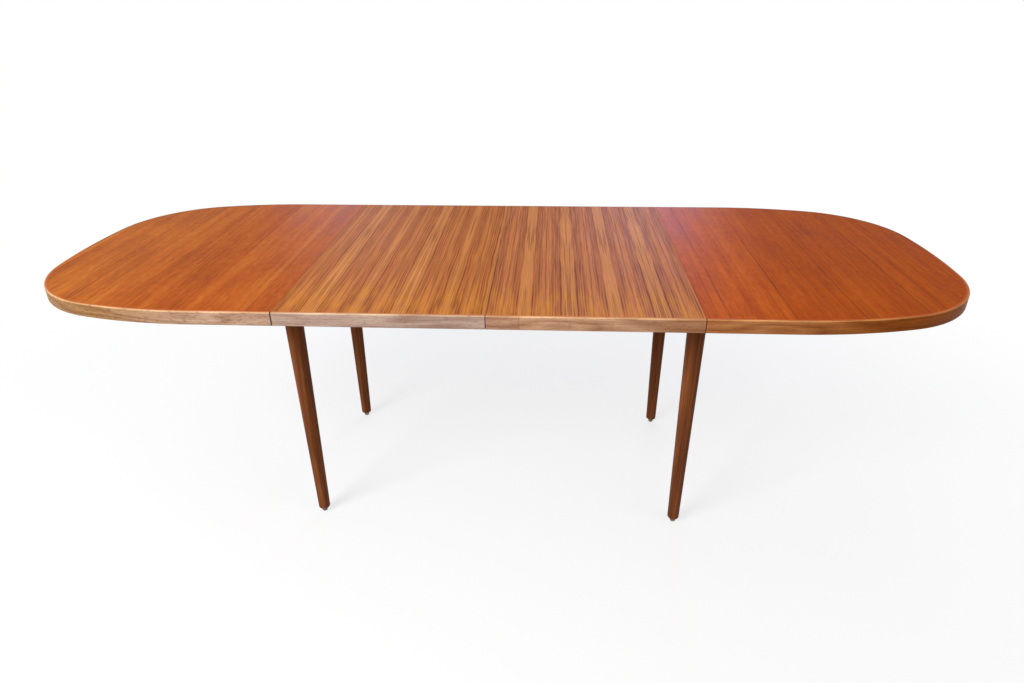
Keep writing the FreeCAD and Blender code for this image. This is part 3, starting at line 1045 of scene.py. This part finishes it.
@dataclass(frozen=True)
class Rim:
    """Outline of an end top: a straight side, a wide shoulder arc, a tight corner arc and a wide end arc."""

    half_depth: float
    length: float
    start: float
    side_straight: float = 0.202
    corner_radius: float = 0.293
    side_fall: float = 0.0258
    end_fall: float = 0.0064
    steps: tuple[int, int, int, int] = (12, 36, 64, 28)

    def path(self) -> tuple[np.ndarray, np.ndarray]:
        """Points of the rim from the front seam round the tip to the back seam, and their outward normals.

        An arc's points are its centre plus its radius times (cos a, sin a), which is also the normal. The
        shoulder and end arcs touch the corner arc from outside it, so each meets it on the line of centres.

        Returns:
            Points and normals, each as points by 2, with X counted outwards from the middle of the seam.
        """
        corner = np.array([self.length - self.corner_radius - self.end_fall,
                           -(self.half_depth - self.corner_radius - self.side_fall)])
        shoulder_radius = ((corner[0] - self.side_straight) ** 2 + (self.half_depth + corner[1]) ** 2
                           - self.corner_radius ** 2) / (2 * self.side_fall)
        end_radius = ((self.length - corner[0]) ** 2 + corner[1] ** 2
                      - self.corner_radius ** 2) / (2 * self.end_fall)
        shoulder = np.array([self.side_straight, shoulder_radius - self.half_depth])
        end = np.array([self.length - end_radius, 0.0])
        to_corner = corner - shoulder
        from_end = corner - end
        bends = [-QUARTER_TURN, math.atan2(to_corner[1], to_corner[0]), math.atan2(from_end[1], from_end[0]),
                 0.0]
        straight = np.stack([np.linspace(self.start, self.side_straight, self.steps[0], endpoint=False),
                             np.full(self.steps[0], -self.half_depth)], -1)
        points = [straight]
        normals = [np.tile([0.0, -1.0], (self.steps[0], 1))]
        arcs = [(shoulder, shoulder_radius), (corner, self.corner_radius), (end, end_radius)]
        for (centre, radius), low, high, steps in zip(arcs, bends, bends[1:], self.steps[1:]):
            angle = np.linspace(low, high, steps, endpoint=False)
            out = np.stack([np.cos(angle), np.sin(angle)], -1)
            points.append(centre + radius * out)
            normals.append(out)
        half_points = np.concatenate(points)
        half_normals = np.concatenate(normals)
        flip = np.array([1.0, -1.0])
        tip = np.array([[self.length, 0.0]])
        whole_points = np.concatenate([half_points, tip, half_points[::-1] * flip])
        whole_normals = np.concatenate([half_normals, [[1.0, 0.0]], half_normals[::-1] * flip])
        return whole_points, whole_normals


@dataclass(frozen=True, kw_only=True)
class Section:
    """Section of a solid strip that follows the rim: a lipping or a packer."""

    thickness: float
    bottom: float
    top: float
    end_ease: float = 0.0008

    def profile(self) -> np.ndarray:
        """Closed section as (distance in from the rim, level), points by 2."""
        raise NotImplementedError

    @property
    def map_start(self) -> int:
        """Number of the profile point where the map counts from."""
        return 0

    def sweep(self, name: str, points: np.ndarray, normals: np.ndarray) -> bpy.types.Object:
        """Carry the section along a path, with its arrises eased at both ends.

        A ring is the path's point less the normal times the distance in. The two end rings draw in towards
        the middle of the section by the end ease.

        Args:
            name: Name of the object.
            points: Path on the rim as points by 2.
            normals: Outward normals of the path.

        Returns:
            The new object, with a map of the length along the path and the way round the section.
        """
        profile = self.profile()
        middle = (profile.min(0) + profile.max(0)) / 2
        drawn_in = profile - self.end_ease * np.sign(profile - middle)
        inwards = points[[1, -2]] - points[[0, -1]]
        inwards *= self.end_ease / np.linalg.norm(inwards, axis=1, keepdims=True)
        first, last = points[[0, -1]] + inwards
        path = np.concatenate([points[:1], [first], points[1:-1], [last], points[-1:]])
        out = np.concatenate([normals[:1], normals[:1], normals[1:-1], normals[-1:], normals[-1:]])
        sections = np.tile(profile, (len(path), 1, 1))
        sections[0] = drawn_in
        sections[-1] = drawn_in
        rings = np.empty((len(path), len(profile), 3))
        rings[..., :2] = path[:, None, :] - out[:, None, :] * sections[..., :1]
        rings[..., 2] = sections[..., 1]
        along = np.concatenate([[0.0], np.cumsum(np.linalg.norm(np.diff(path, axis=0), axis=1))])
        looped = np.concatenate([profile, profile[:1]])
        around = np.concatenate([[0.0], np.cumsum(np.linalg.norm(np.diff(looped, axis=0), axis=1))])
        around -= around[self.map_start]
        uv = np.stack(np.broadcast_arrays(along[:, None], around[None, :]), -1)
        return shell(name, rings, uv)


@dataclass(frozen=True, kw_only=True)
class LippingSection(Section):
    """Lipping: rounded on top, eased below, flat against the panel. Its map counts from the top round."""

    top_round: float = 0.0035
    bottom_round: float = 0.002
    joint_ease: float = 0.0003
    arc_steps: int = 7

    @property
    def map_start(self) -> int:
        """Number of the first point of the top round."""
        return self.arc_steps

    def profile(self) -> np.ndarray:
        """Closed section, from the bottom round up the outer face and over the top.

        The bottom round is (r - r sin a, r - r cos a) from the lower corner of the outer face, and the top
        round (r - r cos a, r sin a - r) from its upper corner, through a quarter turn.

        Returns:
            Points by 2, as (distance in from the rim, level).
        """
        angle = np.linspace(0, QUARTER_TURN, self.arc_steps)
        low = self.bottom_round
        high = self.top_round
        lower = np.stack([low - low * np.sin(angle), self.bottom + low - low * np.cos(angle)], -1)
        upper = np.stack([high - high * np.cos(angle), self.top - high + high * np.sin(angle)], -1)
        inner = np.array([[self.thickness - self.joint_ease, self.top],
                          [self.thickness, self.top - self.joint_ease],
                          [self.thickness, self.bottom]])
        return np.concatenate([lower, upper, inner])


@dataclass(frozen=True, kw_only=True)
class PackerSection(Section):
    """Packer under the panel's edge: a flat strip behind the lipping, with its inner arris eased."""

    inset: float
    inner_ease: float = 0.0015

    def profile(self) -> np.ndarray:
        """Closed section, up its outer side and back down its inner side.

        Returns:
            Points by 2, as (distance in from the rim, level).
        """
        inner = self.inset + self.thickness
        return np.array([[self.inset, self.bottom], [self.inset, self.top], [inner, self.top],
                         [inner, self.bottom + self.inner_ease], [inner - self.inner_ease, self.bottom]])


# Sub-assemblies

@dataclass
class EndTop:
    """One sliding end top: lipping, face veneer and packer along its rim, and the pieces below."""

    side: Side
    veneer: EndVeneer
    lipping: LippingWood
    joint_ease: float = 0.0003
    packer_width: float = 0.03
    pin_edge: float = 0.0008
    screw_edge: float = 0.0004
    stop_edge: float = 0.0008
    runner_edge: float = 0.0012
    points: np.ndarray = field(init=False)
    outward: np.ndarray = field(init=False)
    thickness: float = field(init=False)

    def __post_init__(self) -> None:
        """Take the rim and the thickness of the lipping from the frame."""
        low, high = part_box(self.node("top_lipping"))
        leaf_low, leaf_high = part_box(self.node("leaf_face_veneer"))
        seam, tip = sorted((abs(low.x), abs(high.x)))
        seam_middle = (seam + max(abs(leaf_low.x), abs(leaf_high.x))) / 2
        points, normals = Rim(high.y, tip - seam_middle, seam - seam_middle).path()
        mirror = np.array([self.side.value, 1.0])
        self.points = (points + np.array([seam_middle, 0.0])) * mirror
        self.outward = normals * mirror
        self.thickness = high.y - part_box(self.node("top_face_veneer"))[1].y

    @property
    def body(self) -> str:
        """Body of this top."""
        return self.node("top")

    def node(self, piece: str) -> str:
        """Node name of one of this top's pieces."""
        return f"{self.side.word}_{piece}"

    def build_lipping(self) -> None:
        """Build the lipping along the rim."""
        low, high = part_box(self.node("top_lipping"))
        section = LippingSection(thickness=self.thickness, bottom=low.z, top=high.z)
        strip = section.sweep(self.node("lipping_rim"), self.points, self.outward)
        stand_for(strip, self.node("top_lipping"), self.body, self.lipping.material())

    def build_veneer(self) -> None:
        """Build the face veneer inside the lipping, as a plate with eased edges."""
        low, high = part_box(self.node("top_face_veneer"))
        outline = self.points - self.outward * self.thickness
        inset = outline - self.outward * self.joint_ease
        inset[[0, -1], 0] += self.side.value * self.joint_ease
        sheet = plate(self.node("top_veneer_sheet"), outline, inset, low.z, high.z, self.joint_ease)
        stand_for(sheet, self.node("top_face_veneer"), self.body, self.veneer.material())

    def build_packer(self) -> None:
        """Build the packer behind the lipping."""
        low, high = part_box(self.node("top_packer"))
        section = PackerSection(thickness=self.packer_width, bottom=low.z, top=high.z, inset=self.thickness)
        strip = section.sweep(self.node("packer_rim"), self.points, self.outward)
        stand_for(strip, self.node("top_packer"), self.body, Stock.PACKER.material())

    def build(self) -> None:
        """Build the pieces along the rim, and dress the rest."""
        self.build_lipping()
        self.build_veneer()
        self.build_packer()
        dress(self.node("top_core"), Stock.CORE)
        dress(self.node("top_back_veneer"), Stock.BACKING)
        dress(self.node("top_seam_strip"), Stock.STRIP)
        dress(self.node("top_pins"), Stock.BEECH_ALONG, self.pin_edge)
        dress(self.node("runner_screws"), Stock.SCREW, self.screw_edge)
        dress(self.node("runner_stops"), Stock.BEECH_ACROSS, self.stop_edge)
        for face in Face:
            dress(self.node(f"runner_{face.word}"), Stock.BEECH_ALONG, self.runner_edge)


@dataclass
class Leaf:
    """One loose leaf: face veneer, straight lippings and packers, and the pieces below."""

    side: Side
    veneer: LeafVeneer
    lipping: LippingWood
    joint_ease: float = 0.0003
    strip_swell: float = 0.0004
    path_steps: int = 40
    seed_step: float = 3.0

    @property
    def body(self) -> str:
        """Body of this leaf."""
        return f"{self.side.word}_leaf"

    def node(self, piece: str) -> str:
        """Node name of one of this leaf's pieces."""
        return f"{self.body}_{piece}"

    def build_veneer(self) -> None:
        """Build the face veneer as a rectangular plate with eased edges."""
        low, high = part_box(self.node("face_veneer"))
        corners = np.array([[low.x, low.y], [high.x, low.y], [high.x, high.y], [low.x, high.y]])
        inset = corners + self.joint_ease * np.array([[1, 1], [-1, 1], [-1, -1], [1, -1]])
        sheet = plate(self.node("veneer_sheet"), corners, inset, low.z, high.z, self.joint_ease)
        stand_for(sheet, self.node("face_veneer"), self.body, self.veneer.material())

    def build_lipping(self, face: Face) -> None:
        """Build the lipping, with a grain of its own, and the packer along one long side.

        Args:
            face: Long side of the leaf.
        """
        node = self.node(f"{face.word}_lipping")
        low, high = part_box(node)
        along = np.linspace(low.x, high.x, self.path_steps)
        rim = low.y if face is Face.FRONT else high.y
        points = np.stack([along, np.full_like(along, rim)], -1)
        normals = np.tile([0.0, float(face.value)], (self.path_steps, 1))
        section = LippingSection(thickness=high.y - low.y, bottom=low.z, top=high.z)
        strip = section.sweep(self.node(f"{face.word}_edge"), points, normals)
        finish = replace(self.lipping, name=node, seed=self.lipping.seed + self.seed_step * face.value,
                         splice=LEAF_SPLICES.get((self.side, face)))
        stand_for(strip, node, self.body, finish.material())
        node = self.node(f"{face.word}_packer")
        low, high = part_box(node)
        packer = PackerSection(thickness=high.y - low.y, bottom=low.z, top=high.z, inset=section.thickness)
        strip = packer.sweep(self.node(f"{face.word}_packing"), points, normals)
        stand_for(strip, node, self.body, Stock.PACKER.material())

    def build(self) -> None:
        """Build the veneer and the lippings, and dress the rest."""
        self.build_veneer()
        for face in Face:
            self.build_lipping(face)
        dress(self.node("core"), Stock.CORE)
        dress(self.node("back_veneer"), Stock.BACKING)
        dress(self.node("inner_strip"), Stock.STRIP)
        swell(self.node("inner_strip"), self.strip_swell)
        dress(self.node("outer_strip"), Stock.STRIP)


@dataclass
class Base:
    """Frame of rails on turned legs, with glides, guides and bearers.

    The foot share is a leg's diameter at the foot as a share of that at the top.
    """

    foot_share: float = 32.5 / 49.0
    foot_round: float = 0.005
    top_ease: float = 0.0008
    taper_steps: int = 24
    round_steps: int = 8
    leg_points: int = 64
    glide_flat: float = 0.0045
    glide_rim: float = 0.006
    glide_points: int = 40
    block_edge: float = 0.001
    rail_edge: float = 0.0015
    guide_edge: float = 0.0008
    bearer_edge: float = 0.0012

    def build_leg(self, side: Side, face: Face) -> None:
        """Build one turned leg: a straight taper with a rounded foot.

        Args:
            side: End of the table.
            face: Long side of the table.
        """
        node = f"leg_{face.word}_{side.word}"
        low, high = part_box(node)
        top_radius = (high.x - low.x) / 2
        foot_radius = top_radius * self.foot_share
        angle = np.linspace(0, QUARTER_TURN, self.round_steps)
        taper_levels = np.linspace(low.z + self.foot_round, high.z - self.top_ease, self.taper_steps)
        slope = (top_radius - foot_radius) / (high.z - low.z)
        taper_radii = foot_radius + (taper_levels - low.z) * slope
        round_radii = taper_radii[0] - self.foot_round * (1 - np.sin(angle))
        round_levels = low.z + self.foot_round * (1 - np.cos(angle))
        radii = np.concatenate([round_radii[:-1], taper_radii, [top_radius - self.top_ease]])
        levels = np.concatenate([round_levels[:-1], taper_levels, [high.z]])
        leg = turned(f"{node}_turning", radii, levels, (low + high) / 2, self.leg_points)
        stand_for(leg, node, "base", Stock.LEG.material())

    def build_glides(self) -> None:
        """Build the four domed glides as one piece, each a quarter-round button under its leg."""
        low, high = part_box("foot_glides")
        right_low, right_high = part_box("leg_front_right")
        rim = high.x - (right_low.x + right_high.x) / 2
        angle = np.linspace(0, QUARTER_TURN, self.round_steps)
        radii = np.concatenate([self.glide_flat + (rim - self.glide_flat) * np.sin(angle), [rim]])
        buttons = []
        for face in Face:
            for side in Side:
                leg_low, leg_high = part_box(f"leg_{face.word}_{side.word}")
                centre = (leg_low + leg_high) / 2
                dome = leg_low.z - self.glide_rim
                levels = np.concatenate([low.z + dome * (1 - np.cos(angle)), [leg_low.z]])
                name = f"glide_{face.word}_{side.word}"
                buttons.append(turned(name, radii, levels, centre, self.glide_points))
        glides = joined("glide_buttons", buttons)
        stand_for(glides, "foot_glides", "base", Stock.GLIDE.material())

    def build(self) -> None:
        """Build the legs and glides, and dress the frame."""
        for face in Face:
            for side in Side:
                self.build_leg(side, face)
                dress(f"corner_block_{face.word}_{side.word}", Stock.BEECH_ALONG, self.block_edge)
            dress(f"apron_{face.word}", Stock.RAIL_ALONG, self.rail_edge)
            dress(f"guide_{face.word}", Stock.BEECH_ALONG, self.guide_edge)
        for side in Side:
            dress(f"end_rail_{side.word}", Stock.RAIL_ACROSS, self.rail_edge)
            dress(f"bearer_{side.word}", Stock.BEECH_ACROSS, self.bearer_edge)
        self.build_glides()


# Studio

@dataclass(frozen=True)
class Lamp:
    """Soft square light: where it hangs, the length of its sides, its power in watts and its colour."""

    name: str
    place: tuple[float, float, float]
    size: float
    power: float
    colour: Colour

    def build(self) -> None:
        """Make the light, which points at the middle of the top."""
        data = bpy.data.lights.new(self.name, "AREA")
        data.energy = self.power
        data.size = self.size
        data.color = self.colour
        light = linked(self.name, data)
        light.location = self.place
        target = Vector((0.0, 0.0, cad_box[1].z))
        light.rotation_euler = (target - light.location).to_track_quat("-Z", "Y").to_euler()


@dataclass
class Studio:
    """Pale floor, soft light and the camera of the photograph, with its angles in degrees."""

    camera_place: tuple[float, float, float] = (0.1431, -1.8486, 1.3953)
    pitch: float = 27.118
    yaw: float = -3.341
    roll: float = -0.508
    lens: float = 24.24
    sensor_width: float = 36.0
    floor_size: float = 40.0
    floor_lit: Colour = (0.95, 0.95, 0.95)
    floor_dim: Colour = (0.36, 0.34, 0.32)
    shadow_share: float = 0.3
    shadow_span: Span = (1.0, 2.6)
    world_strength: float = 0.43
    lamps: tuple[Lamp, ...] = (
        Lamp("key_light", (-2.4, -2.7, 2.6), 1.8, 148.0, (1.0, 0.97, 0.94)),
        Lamp("fill_light", (2.6, -1.8, 3.2), 2.4, 30.0, (1.0, 0.98, 0.95)),
        Lamp("back_light", (0.4, 3.0, 3.8), 2.2, 20.0, (1.0, 0.99, 0.98)),
        Lamp("left_window", (-1.45, 3.5, 1.66), 0.8, 14.0, (0.55, 0.68, 1.0)),
        Lamp("right_window", (0.9, 3.5, 1.66), 0.85, 26.0, (0.42, 0.54, 1.0)),
    )

    def build_floor(self) -> None:
        """Make the floor, which is seen as white with a soft shadow, and lights the table as a dim grey.

        The shadow's share falls to nothing with the distance from the table. From below the floor is clear,
        so that the underside can be looked at.
        """
        mesh = bpy.data.meshes.new("floor")
        half = self.floor_size / 2
        corners = [(-half, -half, 0), (half, -half, 0), (half, half, 0), (-half, half, 0)]
        mesh.from_pydata(corners, [], [(0, 1, 2, 3)])
        linked("floor", mesh)
        recipe = Recipe(bpy.data.materials.new("pale_floor"))
        white = recipe.add("ShaderNodeEmission", {"Color": WHITE, "Strength": 1.0})
        lit = recipe.add("ShaderNodeBsdfDiffuse", {"Color": self.floor_lit})
        dim = recipe.add("ShaderNodeBsdfDiffuse", {"Color": self.floor_dim})
        clear = recipe.add("ShaderNodeBsdfTransparent", {})
        place = recipe.add("ShaderNodeTexCoord", {}).outputs["Object"]
        distance = recipe.add("ShaderNodeVectorMath", {0: place}, operation="LENGTH").outputs["Value"]
        share = recipe.span(distance, *self.shadow_span, self.shadow_share, 0.0)
        below = recipe.add("ShaderNodeNewGeometry", {}).outputs["Backfacing"]
        shown = recipe.blend(recipe.seen(), dim, recipe.blend(share, white, lit))
        one_sided = recipe.blend(below, shown, clear)
        recipe.add("ShaderNodeOutputMaterial", {"Surface": one_sided.outputs[0]})
        mesh.materials.append(recipe.block)

    def build_world(self) -> None:
        """Make the surroundings: white to the camera and in reflections, and soft light elsewhere."""
        recipe = Recipe(bpy.data.worlds.new("studio"))
        strength = recipe.span(recipe.seen(), 0.0, 1.0, self.world_strength, 1.0)
        background = recipe.add("ShaderNodeBackground", {"Color": WHITE, "Strength": strength})
        recipe.add("ShaderNodeOutputWorld", {"Surface": background.outputs[0]})
        bpy.context.scene.world = recipe.block

    def build_camera(self) -> None:
        """Make the camera, which looks along +Y, turned right by its yaw, down by its pitch, and rolled."""
        pitch, yaw, roll = (math.radians(angle) for angle in (self.pitch, self.yaw, self.roll))
        turn = Matrix.Rotation(-yaw, 4, "Z")
        turn @= Matrix.Rotation(QUARTER_TURN - pitch, 4, "X")
        turn @= Matrix.Rotation(roll, 4, "Z")
        data = bpy.data.cameras.new("photo_camera")
        data.lens = self.lens
        data.sensor_width = self.sensor_width
        camera = linked("photo_camera", data)
        camera.matrix_world = Matrix.Translation(Vector(self.camera_place)) @ turn
        bpy.context.scene.camera = camera

    def build(self) -> None:
        """Build the stage, the lights and the camera."""
        bpy.context.scene.view_settings.view_transform = "Standard"
        self.build_floor()
        self.build_world()
        for lamp in self.lamps:
            lamp.build()
        self.build_camera()
        log.info("built the studio")


def main() -> None:
    """Build the table's sub-assemblies in order, then the studio."""
    logging.basicConfig(level=logging.INFO, format="%(message)s")
    for side in Side:
        Leaf(side, LEAF_VENEERS[side], LEAF_LIPPINGS[side]).build()
        EndTop(side, END_VENEERS[side], END_LIPPINGS[side]).build()
    Base().build()
    Studio().build()


if __name__ == "__main__":
    main()
